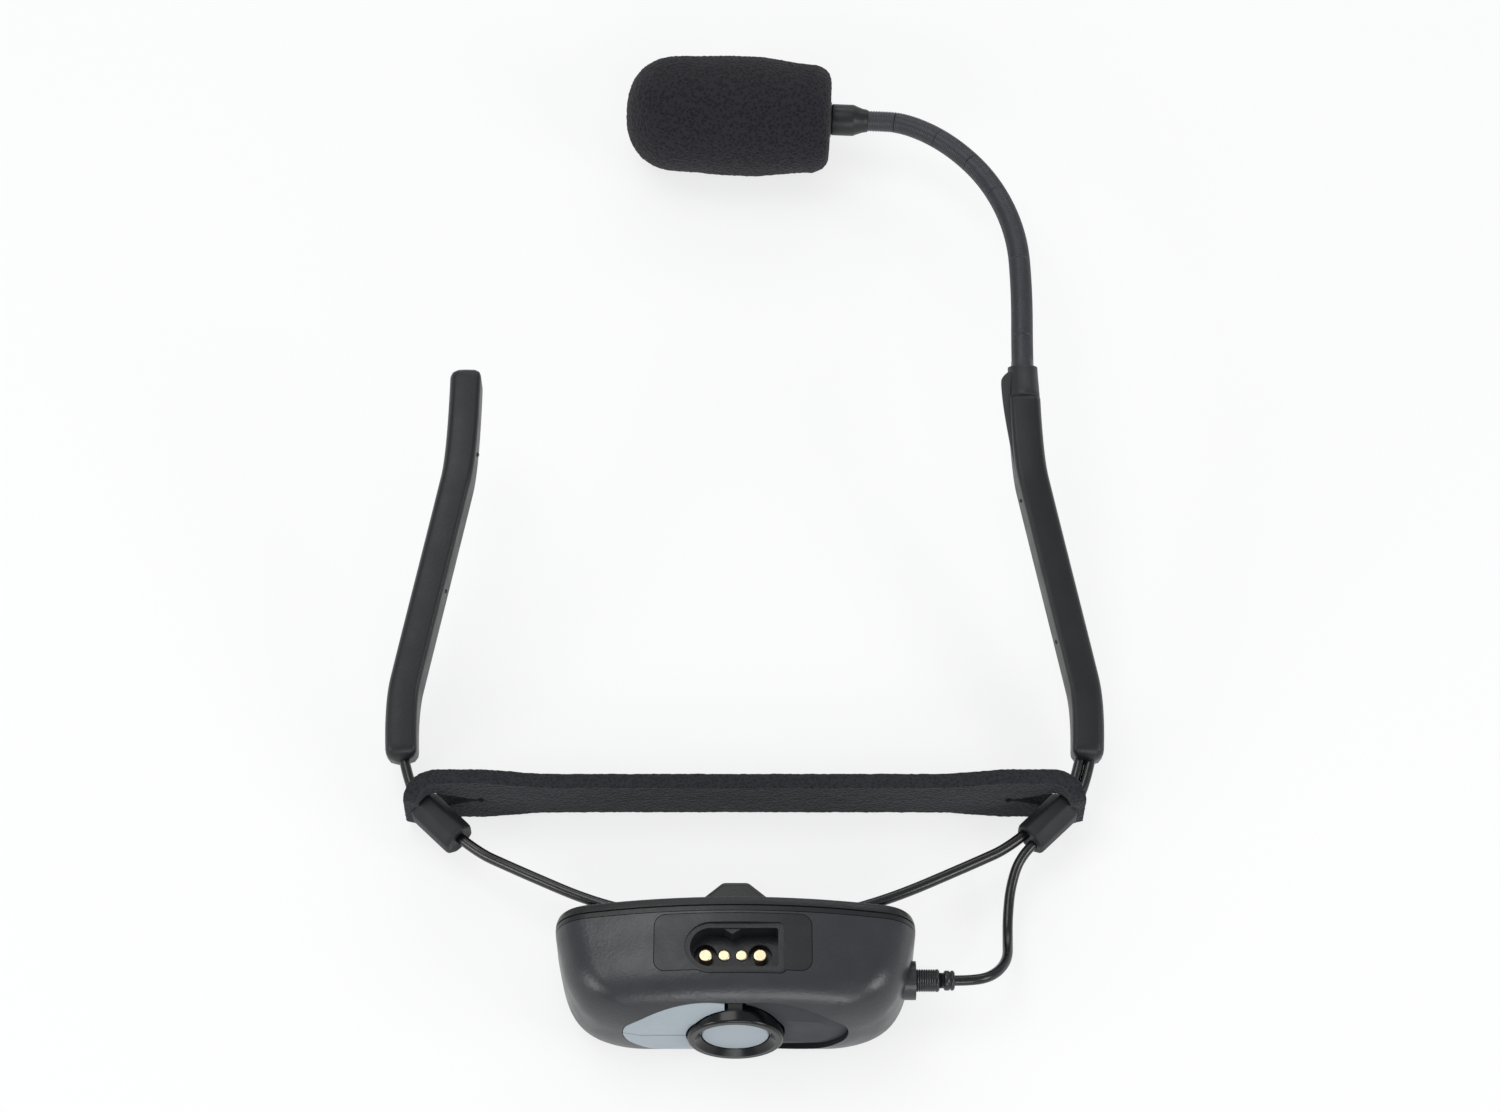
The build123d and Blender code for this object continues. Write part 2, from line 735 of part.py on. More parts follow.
def boom_socket():
    """The sleeve that holds the boom, with a flat fin on its inner side."""
    length = socket_mouth_y - socket_seam_y
    rear = socket_plane(socket_seam_y + 0.1)
    front = rear.offset(length - 0.1)
    sleeve = loft([rear * RectangleRounded(arm_width, arm_depth, 2.6),
                   front * RectangleRounded(socket_mouth_diameter + 0.6, socket_mouth_diameter + 0.9, 2.7)])
    fin = make_face(Polyline(
        (socket_axis_x - 1, socket_seam_y + 0.3),
        (socket_axis_x - 3.9, socket_seam_y + 1.4),
        (socket_axis_x - 4.9, socket_mouth_y - 3.4),
        (socket_axis_x - 4.4, socket_mouth_y - 2.2),
        (socket_axis_x - 1, socket_mouth_y - 1.6),
        close=True))
    sleeve += Pos(0, 0, arm_front_z - 1.1) * extrude(fin, 1.4)
    sleeve -= extrude(socket_plane(socket_seam_y - 1) * Circle(boom_diameter / 2 + bore_gap), 20)
    return sleeve


# ---------------------------------------------------------------- boom
mic_direction = Vector(-math.cos(math.radians(mic_axis_tilt)), math.sin(math.radians(mic_axis_tilt)), 0)
mic_face_point = Vector(mic_face[0], mic_face[1], mic_axis_z)
boom_end = mic_face_point - mic_direction * (boot_length + boot_taper + link_gap / 2)
boom_start = Vector(socket_axis_x, socket_mouth_y + link_gap / 2 + 0.1, socket_axis_z)
boom_points = [
    tuple(boom_start),
    (socket_axis_x + 0.9, 143.0, 24.2),
    (socket_axis_x + 0.8, 160.0, 20.8),
    (51.9, 175.5, 17.6),
    (44.0, 187.3, 14.9),
    (35.0, 194.2, 13.1),
    tuple(boom_end),
]
boom_path = route(boom_points)
boom_joints = [boom_path @ (index / boom_links) for index in range(boom_links + 1)]


def boom_link(index):
    """One rigid stretch of the flexible boom, with room to bend at both ends."""
    start = boom_joints[index]
    end = boom_joints[index + 1]
    run = (end - start).normalized()
    base = Plane(origin=start + run * (link_gap / 2), z_dir=run)
    length = (end - start).length - link_gap
    return extrude(base * (Circle(boom_diameter / 2) - Circle(boom_bore / 2)), length)


def boom_ferrule():
    """The crimped end of the boom, pressed into the socket."""
    start = socket_plane(socket_seam_y + 0.4)
    ring = Circle(boom_diameter / 2) - Circle(boom_bore / 2)
    return extrude(start * ring, socket_mouth_y - socket_seam_y - 0.4)


# ---------------------------------------------------------------- microphone head
mic_plane = Plane(origin=mic_face_point, x_dir=(0, 0, 1), z_dir=mic_direction)


def turned(profile):
    """Turn a profile of (distance along the microphone, radius) about its axis."""
    outline = make_face(Polyline(*[(r, s) for s, r in profile], close=True))
    return mic_plane * revolve(Plane.XZ * outline, Axis.Z)


def mic_boot():
    back = -(boot_length + boot_taper)
    cable_hole = boom_bore / 2
    return turned([
        (back, cable_hole), (back, boom_diameter / 2 + 0.1), (-boot_length, boot_diameter / 2 - 0.25),
        (-boot_length + 0.3, boot_diameter / 2), (-0.3, boot_diameter / 2), (-0.1, boot_diameter / 2 - 0.2),
        (-0.1, cable_hole)])


def capsule_housing():
    radius = capsule_diameter / 2
    return turned([
        (0.1, boom_bore / 2), (0.1, radius - 0.6), (0.9, radius), (capsule_length - 0.4, radius),
        (capsule_length, radius - 0.4), (capsule_length, radius - 1.0), (3.0, radius - 1.0), (2.0, boom_bore / 2)])


def mic_capsule():
    radius = capsule_diameter / 2 - 1.05
    return turned([(11.0, 0), (11.0, radius), (capsule_length - 2.2, radius), (capsule_length - 2.2, 0)])


def capsule_seal():
    radius = capsule_diameter / 2 - 1.05
    front = capsule_length - 2.1
    return turned([(front, radius - 0.9), (front, radius), (front + 0.9, radius), (front + 0.9, radius - 0.9)])


def capsule_grille():
    """A thin pierced disc that closes the front of the housing."""
    radius = capsule_diameter / 2 - 1.05
    front = capsule_length - 1.1
    disc = turned([(front, 0), (front, radius), (front + 0.5, radius), (front + 0.5, 0)])
    for count, ring_radius in ((1, 0.0), (6, 1.1), (12, 2.2)):
        for step in range(count):
            angle = 2 * math.pi * step / count
            hole = Pos(ring_radius * math.cos(angle), ring_radius * math.sin(angle)) * Circle(0.3)
            disc -= extrude(mic_plane.offset(front - 0.5) * hole, 2)
    return disc


def windscreen():
    """The foam cover: a barrel with a round nose and a bore for the capsule."""
    bore = capsule_diameter / 2 + windscreen_gap
    mouth = 0.25
    nose = windscreen_length
    nose_radius = 12.1
    nose_side = nose_radius * diagonal
    widest = windscreen_radius
    outline = make_face([
        Line((bore, mouth), (8.2, mouth)),
        ThreePointArc((8.2, mouth), (10.2, 1.1), (11.3, 3.4)),
        ThreePointArc((11.3, 3.4), (widest, 19.0), (nose_radius, nose - nose_radius)),
        ThreePointArc((nose_radius, nose - nose_radius), (nose_side, nose - nose_radius + nose_side), (0, nose)),
        Line((0, nose), (0, capsule_length + 0.4)),
        Line((0, capsule_length + 0.4), (bore, capsule_length + 0.4)),
        Line((bore, capsule_length + 0.4), (bore, mouth)),
    ])
    return mic_plane * revolve(Plane.XZ * outline, Axis.Z)


# ---------------------------------------------------------------- plug and lead
def plug_body():
    front = boss_face_x + 0.05
    body = rod_x(jack_y, jack_z, plug_diameter, front, front + plug_length)
    return body - rod_x(jack_y, jack_z, plug_diameter - 0.5, front + 2.4, front + 2.6) \
        - rod_x(jack_y, jack_z, 1.6, front - 1, front + 2.0)


def plug_relief():
    """The short moulded neck and collar behind the plug's body."""
    front = boss_face_x + 0.05 + plug_length
    neck = rod_x(jack_y, jack_z, plug_diameter - 1.3, front, front + plug_neck)
    collar = rod_x(jack_y, jack_z, plug_diameter - 0.5, front + plug_neck, front + plug_neck + plug_collar)
    return neck + collar


def plug_pin():
    front = boss_face_x + 0.05
    pin = rod_x(jack_y, jack_z, plug_pin_diameter, front - plug_pin_length, front)
    tip = [e for e in pin.edges() if abs(e.center().X - (front - plug_pin_length)) < 0.01]
    pin = fillet(tip, 0.7)
    return pin + rod_x(jack_y, jack_z, 1.5, front, front + 1.9)


relief_back = boss_face_x + 0.05 + plug_length + plug_neck + plug_collar
right_near = side_step(on_band([bead_far, bead_near], 1), -half_spacing)[1]
lead_points = [
    right_near,
    (right_near[0] - 2.6, right_near[1] - 2.6, bead_z),
    (50.7, 22.2, 5.4),
    (50.0, 16.4, 4.2),
    (49.8, 11.4, 4.6),
    (49.5, 6.9, 6.7),
    (47.25, 3.0, 9.2),
    (43.7, jack_y, jack_z),
    (relief_back, jack_y, jack_z),
]

# ---------------------------------------------------------------- write every sub-part
save("main_shell", main_shell())
save("back_cover", back_cover())
save("cover_seal", cover_seal())
save("contact_insert", contact_insert())
save("charging_contacts", charging_contacts())
save("button_ring", button_ring())
save("power_button", power_button())
save("wing_button_upper", wing_piece(-1, control_z + split_gap, 40))
save("wing_button_lower", wing_piece(-1, -10, control_z - split_gap))
save("sensor_window", sensor_window())
save("key_membrane", key_membrane())
save("circuit_board", circuit_board())
save("power_switch", power_switch())
save("wing_switches", wing_switches())
save("status_light", status_light())
save("battery_cell", battery_cell())
save("shield_can", shield_can())
save("antenna_strip", antenna_strip())
save("jack_socket", jack_socket())
save("cover_screws", cover_screws())
save("wire_clip", wire_clip())
save("clip_screws", clip_screws())
save("band_wire", tube(band_route, wire_diameter, end_radius=bead_exit_radius))
save("neck_strap", neck_strap())
save("left_bead", bead(-1, [0]))
save("right_bead", bead(1, [-half_spacing, half_spacing]))
save("left_arm", left_arm())
save("right_arm", right_arm())
save("left_arm_wire", tube(arm_strand_points(-1, 0, core_end_y), wire_diameter))
save("right_arm_wire", tube(arm_strand_points(1, -half_spacing, core_end_y), wire_diameter))
save("right_mic_cable", tube(arm_strand_points(1, half_spacing, cable_end_y), lead_diameter))
save("boom_socket", boom_socket())
save("boom_ferrule", boom_ferrule())
for link in range(boom_links):
    save(f"boom_link_{link + 1}", boom_link(link))
save("mic_boot", mic_boot())
save("capsule_housing", capsule_housing())
save("mic_capsule", mic_capsule())
save("capsule_seal", capsule_seal())
save("capsule_grille", capsule_grille())
save("windscreen", windscreen())
save("plug_body", plug_body())
save("plug_relief", plug_relief())
save("plug_pin", plug_pin())
save("mic_lead", tube(lead_points, lead_diameter))

lead_path = route(lead_points)
lead_volume = written["mic_lead"].volume
lead_expected = math.pi * lead_diameter ** 2 / 4 * lead_path.length
print(f"lead: length {lead_path.length:.1f}, volume {lead_volume:.1f}, section times length {lead_expected:.1f}")
print("lead radii:", [round(r, 1) for r in corner_radii(lead_points)])
print("band wire radii:", [round(r, 1) for r in corner_radii(band_route)])
print("boom joints:", [tuple(round(c, 2) for c in p) for p in boom_joints])
print("nodes:", len(written))
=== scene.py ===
import json
import math

import bmesh
import bpy
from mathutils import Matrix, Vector, noise


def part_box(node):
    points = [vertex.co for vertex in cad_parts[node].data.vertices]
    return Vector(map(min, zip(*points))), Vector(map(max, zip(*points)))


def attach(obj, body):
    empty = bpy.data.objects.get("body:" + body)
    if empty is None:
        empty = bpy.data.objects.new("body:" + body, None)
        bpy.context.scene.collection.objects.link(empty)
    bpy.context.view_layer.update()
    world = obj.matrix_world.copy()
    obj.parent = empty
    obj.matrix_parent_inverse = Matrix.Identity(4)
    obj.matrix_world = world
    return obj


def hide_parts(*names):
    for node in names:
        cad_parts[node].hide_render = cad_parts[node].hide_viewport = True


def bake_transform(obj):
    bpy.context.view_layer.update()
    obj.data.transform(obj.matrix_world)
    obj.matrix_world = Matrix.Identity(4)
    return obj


# The looks of a headset microphone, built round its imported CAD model.
# Blender works in metres; the sizes below are in millimetres and go through MM.

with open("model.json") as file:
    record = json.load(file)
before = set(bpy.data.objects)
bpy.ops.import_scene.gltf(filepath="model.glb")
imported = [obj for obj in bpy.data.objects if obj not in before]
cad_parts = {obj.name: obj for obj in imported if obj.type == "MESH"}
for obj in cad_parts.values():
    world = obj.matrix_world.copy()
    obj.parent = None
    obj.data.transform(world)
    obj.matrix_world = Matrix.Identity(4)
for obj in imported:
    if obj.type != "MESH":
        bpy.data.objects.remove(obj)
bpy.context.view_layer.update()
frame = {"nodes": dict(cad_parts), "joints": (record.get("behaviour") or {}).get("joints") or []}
MM = 0.001
UP = Vector((0, 0, 1))


def point(x, y, z):
    """A place given in millimetres, in metres."""
    return Vector((x, y, z)) * MM


def size_of(node):
    low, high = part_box(node)
    return (high - low) / MM


def middle_of(node):
    low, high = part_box(node)
    return (high + low) / 2 / MM


def smooth_step(value, start, stop):
    """A soft rise from 0 at start to 1 at stop."""
    t = min(max((value - start) / (stop - start), 0), 1)
    return t * t * (3 - 2 * t)


# ---------------------------------------------------------------- sizes from the frame
band_x = middle_of("neck_strap").x
strap_low, strap_high = (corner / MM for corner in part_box("neck_strap"))
socket_low, socket_high = (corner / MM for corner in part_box("boom_socket"))
plug_low, plug_high = (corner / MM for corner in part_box("plug_body"))
relief_low, relief_high = (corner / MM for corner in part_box("plug_relief"))
jack = middle_of("plug_body")
plug_radius = size_of("plug_body").y / 2

# ---------------------------------------------------------------- sizes as in the CAD model
lead_diameter = 1.9
wire_diameter = 2.0
boom_diameter = 4.3
strand_offset = 1.075          # band wire to the middle of the right bead
windscreen_length = 43.0
mic_axis = Vector((-0.9988, 0.0488, 0))
mic_face = point(19.7, 195.4, 12.6)

# ---------------------------------------------------------------- sizes of the looks
strand_touch = 0.98            # wire and cable side by side, just touching
plug_rib = 0.42
plug_groove = 0.13

bead_half_width = 3.1
bead_half_length = 5.0
bead_corner = 0.6
bead_end = [(0.35, 0.55), (0.1, 0.72), (0, 0.86), (0.1, 0.94), (0.5, 0.99), (1.2, 1.0)]    # inset, share

strap_thickness = 3.0
strap_narrow_by = 1.85         # off each edge of the middle stretch
strap_narrow_to = 36.0
strap_wide_from = 50.0
hook_radius = 5.2
hook_middle = 56.9             # where the straight stretch turns into the hook
hook_arc = math.radians(78) * hook_radius
lobe_reach = 4.2
lobe_nip = 3.4
slit_start = 49.4              # the middle of the keyhole
slit_stop = hook_middle + math.radians(56) * hook_radius
neck_start = slit_start + 0.5  # where the keyhole gives way to the neck
keyhole_radius = 0.8
slit_neck = 0.3
slit_open = 2.7
slit_tail = 4.0

nub_radius = 0.45
nub_inset = 2.95
arm_end_sink = 1.2             # how far an arm's rounded end drops

socket_mouth = 2.95
socket_slant = 0.42            # how far the mouth leans back for each mm of height
socket_bore = boom_diameter / 2 + 0.28
socket_floor = 4.0

fin_rear_y = 99.0
fin_full_y = 119.2
fin_front_y = 121.2
fin_width = 1.35

rib_pitch = 0.54
rib_depth = 0.2
rings_per_rib = 3

# ---------------------------------------------------------------- routes, as in the CAD model
bead_far = (59.886, 37.886, 7.0)
half_band = [(13.5, 12.7, 12.0), (26.5, 15.4, 11.6), (42.0, 23.6, 9.4), (51.26, 29.26, 7.0), bead_far]
lead_route = [
    (55.175, 30.054, 7.0), (52.575, 27.454, 7.0), (50.7, 22.2, 5.4), (50.0, 16.4, 4.2), (49.8, 11.4, 4.6),
    (49.5, 6.9, 6.7), (47.25, 3.0, 9.2), (43.7, 0.8, 11.0), (39.45, 0.8, 11.0),
]
arm_route = [
    (64.2, 46.3, 8.0), (64.9, 56.0, 10.6), (62.6, 66.0, 13.9), (56.2, 93.0, 22.7), (53.9, 103.0, 26.0),
    (54.0, 122.0, 27.0),
]
strand_route = [bead_far, (61.4, 39.4, 7.0), (62.9, 43.2, 7.6), (64.3, 48.6, 8.6), (64.8, 53.5, 9.9)]
boom_route = [
    (55.6, 118.0, 26.65), (55.6, 125.1, 26.65), (56.5, 143.0, 24.2), (56.4, 160.0, 20.8), (51.9, 175.5, 17.6),
    (44.0, 187.3, 14.9), (35.0, 194.2, 13.1), (27.79, 195.0, 12.6), (26.2, 195.08, 12.6),
]
boom_joints = [Vector(joint["pos_m"]) for joint in frame["joints"] if joint["name"].startswith("boom_")]


def on_band(points, side):
    """A half-route put on one side of the band."""
    return [(band_x + side * x, y, z) for x, y, z in points]


def side_step(points, distance):
    """The same route, moved sideways in plan."""
    moved = []
    last = len(points) - 1
    for index, (x, y, z) in enumerate(points):
        before = points[max(index - 1, 0)]
        after = points[min(index + 1, last)]
        run = Vector((after[0] - before[0], after[1] - before[1])).normalized()
        moved.append((x + run.y * distance, y - run.x * distance, z))
    return moved


# ---------------------------------------------------------------- finishes
def srgb(code):
    """A colour written as it looks on screen, as linear light."""
    parts = [int(code[i:i + 2], 16) / 255 for i in (1, 3, 5)]
    return [c / 12.92 if c <= 0.04045 else ((c + 0.055) / 1.055) ** 2.4 for c in parts]


class Finish:
    """One node material: colour that drifts, roughness that varies, and a surface grain."""

    def __init__(self, name, colour, rough, specular=0.5, metal=0.0, coat=0.0, sheen=0.0):
        self.material = bpy.data.materials.new(name)
        self.material.use_nodes = True
        self.nodes = self.material.node_tree.nodes
        self.links = self.material.node_tree.links
        self.shader = self.nodes["Principled BSDF"]
        self.colour = srgb(colour)
        self.rough = rough
        self.shader.inputs["Metallic"].default_value = metal
        self.shader.inputs["Specular IOR Level"].default_value = specular
        self.shader.inputs["Coat Weight"].default_value = coat
        self.shader.inputs["Coat Roughness"].default_value = 0.12
        self.shader.inputs["Sheen Weight"].default_value = sheen
        self.shader.inputs["Sheen Roughness"].default_value = 0.6
        self.place = self.nodes.new("ShaderNodeTexCoord").outputs["Object"]

    def noise(self, scale, detail=3.0, stretch=None):
        """A noise field in the object's own metres, drawn out along an axis if asked."""
        node = self.nodes.new("ShaderNodeTexNoise")
        node.inputs["Scale"].default_value = scale
        node.inputs["Detail"].default_value = detail
        source = self.place
        if stretch:
            mapping = self.nodes.new("ShaderNodeMapping")
            mapping.inputs["Scale"].default_value = stretch
            self.links.new(source, mapping.inputs["Vector"])
            source = mapping.outputs["Vector"]
        self.links.new(source, node.inputs["Vector"])
        return node.outputs["Fac"]

    def cells(self, scale):
        """Rounded cells, as in open foam."""
        node = self.nodes.new("ShaderNodeTexVoronoi")
        node.inputs["Scale"].default_value = scale
        node.inputs["Randomness"].default_value = 1.0
        self.links.new(self.place, node.inputs["Vector"])
        return node.outputs["Distance"]

    def remap(self, value, low, high, start=0.3, stop=0.7):
        node = self.nodes.new("ShaderNodeMapRange")
        node.inputs["From Min"].default_value = start
        node.inputs["From Max"].default_value = stop
        node.inputs["To Min"].default_value = low
        node.inputs["To Max"].default_value = high
        self.links.new(value, node.inputs["Value"])
        return node.outputs["Result"]

    def tint(self, value, dark, light, start=0.3, stop=0.7):
        """Colour between a darker and a lighter shade of the base, led by a field."""
        ramp = self.nodes.new("ShaderNodeValToRGB")
        ramp.color_ramp.elements[0].position = start
        ramp.color_ramp.elements[1].position = stop
        ramp.color_ramp.elements[0].color = [c * dark for c in self.colour] + [1]
        ramp.color_ramp.elements[1].color = [min(c * light, 1) for c in self.colour] + [1]
        self.links.new(value, ramp.inputs["Fac"])
        self.links.new(ramp.outputs["Color"], self.shader.inputs["Base Color"])

    def gloss(self, value, spread):
        rough = self.remap(value, self.rough - spread, self.rough + spread)
        self.links.new(rough, self.shader.inputs["Roughness"])

    def relief(self, *fields):
        """Bumps stacked on each other, each a field with a height in millimetres."""
        normal = None
        for value, height in fields:
            bump = self.nodes.new("ShaderNodeBump")
            bump.inputs["Strength"].default_value = 1.0
            bump.inputs["Distance"].default_value = height * MM
            self.links.new(value, bump.inputs["Height"])
            if normal:
                self.links.new(normal, bump.inputs["Normal"])
            normal = bump.outputs["Normal"]
        self.links.new(normal, self.shader.inputs["Normal"])


def moulded(name, colour, rough, grain=2200, height=0.02, drift=0.07, spread=0.05, **shader):
    """Moulded plastic or rubber: a soft colour drift, handling marks and a fine spark-eroded grain."""
    made = Finish(name, colour, rough, **shader)
    made.tint(made.noise(70, 4), 1 - drift, 1 + drift)
    made.gloss(made.noise(260, 5), spread)
    made.relief((made.noise(grain, 2), height), (made.noise(90, 2), height * 2))
    return made.material


def foam(name, colour, cell, height, pore_shade, **shader):
    """Foam with open cells: each pore pitted in the bump and darkened by painted shade, with a lighter wall
    round it.
    """
    made = Finish(name, colour, 0.93, **shader)
    pores = made.cells(cell)
    # painted shade: the colour darkens into each pore, where the bump sinks
    made.tint(pores, 1 - pore_shade, 1 + pore_shade * 1.6, 0.08, 0.62)
    made.gloss(made.noise(600, 3), 0.05)
    made.relief((pores, height), (made.noise(cell * 2.3, 3), height * 0.6))
    return made.material


def plated(name, colour, rough, stretch=(1, 1, 1)):
    """Bright or brushed metal with fine drawn lines."""
    made = Finish(name, colour, rough, metal=1.0)
    lines = made.noise(3000, 3, stretch)
    made.tint(made.noise(150, 3), 0.9, 1.05)
    made.gloss(lines, 0.06)
    made.relief((lines, 0.004))
    return made.material


def jacket(name, colour, rough, **shader):
    """An extruded cable jacket: faint lines and a slight bloom."""
    made = Finish(name, colour, rough, **shader)
    made.tint(made.noise(220, 4), 0.88, 1.14)
    made.gloss(made.noise(900, 3), 0.07)
    made.relief((made.noise(1800, 2), 0.012))
    return made.material


LOOKS = {
    "shell": moulded("shell_texture", "#24262a", 0.36, grain=1500, height=0.05, specular=0.6),
    "cover": moulded("cover_satin", "#0f1012", 0.36, grain=1500, height=0.03, specular=0.5),
    "insert": moulded("insert_satin", "#191a1d", 0.38, grain=1500, height=0.03),
    "seal": moulded("seal_rubber", "#101010", 0.8, specular=0.3),
    "gold": plated("gold_plating", "#f6e3bd", 0.3),
    "ring": moulded("ring_gloss", "#060709", 0.2, grain=1200, height=0.002, spread=0.03, specular=0.4),
    "window": moulded("window_matt", "#303136", 0.6, grain=2600, height=0.012, specular=0.35),
    "board": moulded("board_mask", "#1a5a30", 0.4, grain=1500, height=0.01),
    "switch": moulded("switch_black", "#181818", 0.5),
    "light": moulded("light_clear", "#d8dcde", 0.2, height=0.002),
    "cell": plated("cell_pouch", "#b9bcc0", 0.35),
    "steel": plated("plated_steel", "#b4b4b6", 0.3, (1, 12, 1)),
    "boss": moulded("plug_satin", "#16181b", 0.34, grain=2600, height=0.008, specular=0.55),
    "clip": moulded("clip_gloss", "#090a0c", 0.27, grain=2600, height=0.004, spread=0.04, coat=0.2),
    "wire": jacket("wire_jacket", "#0a0a0c", 0.24, specular=0.55),
    # the strap foam carries painted shade in its pores
    "strap": foam("strap_foam", "#1c1d21", 1700, 0.16, 0.42, specular=0.15, sheen=0.1),
    "bead": moulded("bead_rubber", "#18191c", 0.55, grain=1500, height=0.035, specular=0.4),
    "key": moulded("key_satin", "#98a2a8", 0.42, grain=3000, height=0.008, drift=0.03, specular=0.4),
    "arm": moulded("arm_rubber", "#121316", 0.44, grain=1700, height=0.025, specular=0.45),
    # the arm rubber again, made lighter: painted light on the front of the right arm
    "arm_front_painted_light": moulded("arm_front_rubber_painted_light", "#1f2124", 0.46, grain=1700, height=0.025, specular=0.45),
    "boom": jacket("boom_sleeve", "#2a2b31", 0.4, specular=0.55),
    "boot": moulded("boot_rubber", "#111214", 0.42, grain=2600, height=0.01),
    # the windscreen foam carries painted shade in its pores
    "windscreen": foam("windscreen_foam", "#1c1b1f", 1500, 0.22, 0.5, specular=0.08, sheen=0.08),
}

NODE_LOOKS = {
    "shell": ["main_shell"],
    "cover": ["back_cover"],
    "insert": ["contact_insert"],
    "seal": ["cover_seal", "key_membrane", "capsule_seal"],
    "gold": ["charging_contacts", "plug_pin"],
    "ring": ["button_ring"],
    "window": ["sensor_window"],
    "board": ["circuit_board"],
    "switch": ["power_switch", "wing_switches", "jack_socket", "mic_capsule"],
    "light": ["status_light"],
    "cell": ["battery_cell"],
    "steel": ["shield_can", "antenna_strip", "cover_screws", "clip_screws", "capsule_grille"],
    "clip": ["wire_clip"],
    "key": ["power_button", "wing_button_upper", "wing_button_lower"],
    "boot": ["capsule_housing"],
    "boom": ["boom_ferrule"],
}
for look, names in NODE_LOOKS.items():
    for name in names:
        mesh = frame["nodes"][name].data
        mesh.materials.clear()
        mesh.materials.append(LOOKS[look])


# ---------------------------------------------------------------- mesh helpers
def dress(obj, look):
    obj.data.materials.clear()
    obj.data.materials.append(LOOKS[look])
    return obj


def mesh_piece(name, vertices, faces, look):
    """A new object from points in metres, with its faces turned outward."""
    mesh = bpy.data.meshes.new(name)
    mesh.from_pydata([tuple(v) for v in vertices], [], faces)
    shape = bmesh.new()
    shape.from_mesh(mesh)
    bmesh.ops.recalc_face_normals(shape, faces=shape.faces)
    for face in shape.faces:
        face.smooth = True
    shape.to_mesh(mesh)
    shape.free()
    obj = bpy.data.objects.new(name, mesh)
    bpy.context.scene.collection.objects.link(obj)
    return dress(obj, look)


def apply_modifiers(obj):
    bpy.context.view_layer.update()
    shaped = bpy.data.meshes.new_from_object(obj.evaluated_get(bpy.context.evaluated_depsgraph_get()))
    obj.modifiers.clear()
    obj.data = shaped


def ring_piece(name, rings, look):
    """Skin a run of equal rings and close both ends."""
    count = len(rings[0])
    vertices = [v for ring in rings for v in ring]
    faces = []
    last = (len(rings) - 1) * count
    for a in range(0, last, count):
        b = a + count
        for step in range(count):
            after = (step + 1) % count
            faces.append((a + step, a + after, b + after, b + step))
    faces.append(tuple(range(count)))
    faces.append(tuple(range(last, last + count)))
    return mesh_piece(name, vertices, faces, look)


def circle_ring(centre, run, radius, segments):
    """A ring square to a direction, starting level with its centre."""
    side = UP.cross(run)
    side = side.normalized() if side.length > 1e-4 else Vector((1, 0, 0))
    top = run.cross(side).normalized()
    ring = []
    for step in range(segments):
        angle = 2 * math.pi * step / segments
        ring.append(centre + (side * math.cos(angle) + top * math.sin(angle)) * radius)
    return ring


def turned(name, origin, axis, profile, segments, look):
    """Turn a profile of (distance along the axis, radius), in millimetres."""
    rings = [circle_ring(origin + axis * along * MM, axis, max(radius, 0.01) * MM, segments)
             for along, radius in profile]
    return ring_piece(name, rings, look)


def nurbs(name, points, bevel=0.0):
    """A smooth open curve whose control points are given in millimetres."""
    curve = bpy.data.curves.new(name, "CURVE")
    curve.dimensions = "3D"
    curve.resolution_u = 24
    curve.bevel_depth = bevel * MM
    curve.bevel_resolution = 6
    curve.use_fill_caps = True
    spline = curve.splines.new("NURBS")
    spline.points.add(len(points) - 1)
    for control, place in zip(spline.points, points):
        control.co = (*point(*place), 1)
    spline.order_u = 3
    spline.use_endpoint_u = True
    obj = bpy.data.objects.new(name, curve)
    bpy.context.scene.collection.objects.link(obj)
    return obj


def walk(points, step):
    """Even steps, in millimetres, along the smooth curve of a route: places and directions."""
    curve = nurbs("walk", points)
    bpy.context.view_layer.update()
    line = [v.co.copy() for v in bpy.data.meshes.new_from_object(curve).vertices]
    bpy.data.objects.remove(curve)
    lengths = [0.0]
    for a, b in zip(line, line[1:]):
        lengths.append(lengths[-1] + (b - a).length)
    count = max(round(lengths[-1] / (step * MM)), 2)
    places = []
    index = 0
    for number in range(count + 1):
        target = lengths[-1] * number / count
        while index < len(lengths) - 2 and lengths[index + 1] < target:
            index += 1
        share = (target - lengths[index]) / max(lengths[index + 1] - lengths[index], 1e-9)
        places.append(line[index].lerp(line[index + 1], share))
    runs = []
    for number in range(count + 1):
        before = places[max(number - 1, 0)]
        after = places[min(number + 1, count)]
        runs.append((after - before).normalized())
    return places, runs


def rounded_outline(corners, radii, steps=4):
    """A closed outline with each corner rounded off by its own radius."""
    outline = []
    total = len(corners)
    for index in range(total):
        here = Vector(corners[index])
        back = Vector(corners[index - 1]) - here
        ahead = Vector(corners[(index + 1) % total]) - here
        reach = min(radii[index], back.length * 0.48, ahead.length * 0.48)
        start = here + back.normalized() * reach
        stop = here + ahead.normalized() * reach
        for step in range(steps + 1):
            t = step / steps
            outline.append(start * (1 - t) ** 2 + here * 2 * t * (1 - t) + stop * t ** 2)
    return outline


# ---------------------------------------------------------------- camera, floor and light
camera_data = bpy.data.cameras.new("camera")
camera_data.lens = 81.6
camera_data.sensor_width = 36
camera = bpy.data.objects.new("camera", camera_data)
camera.location = (0.0026, -0.24884, 0.57483)
camera.rotation_euler = (math.radians(31), 0, 0)
bpy.context.scene.collection.objects.link(camera)
bpy.context.scene.camera = camera


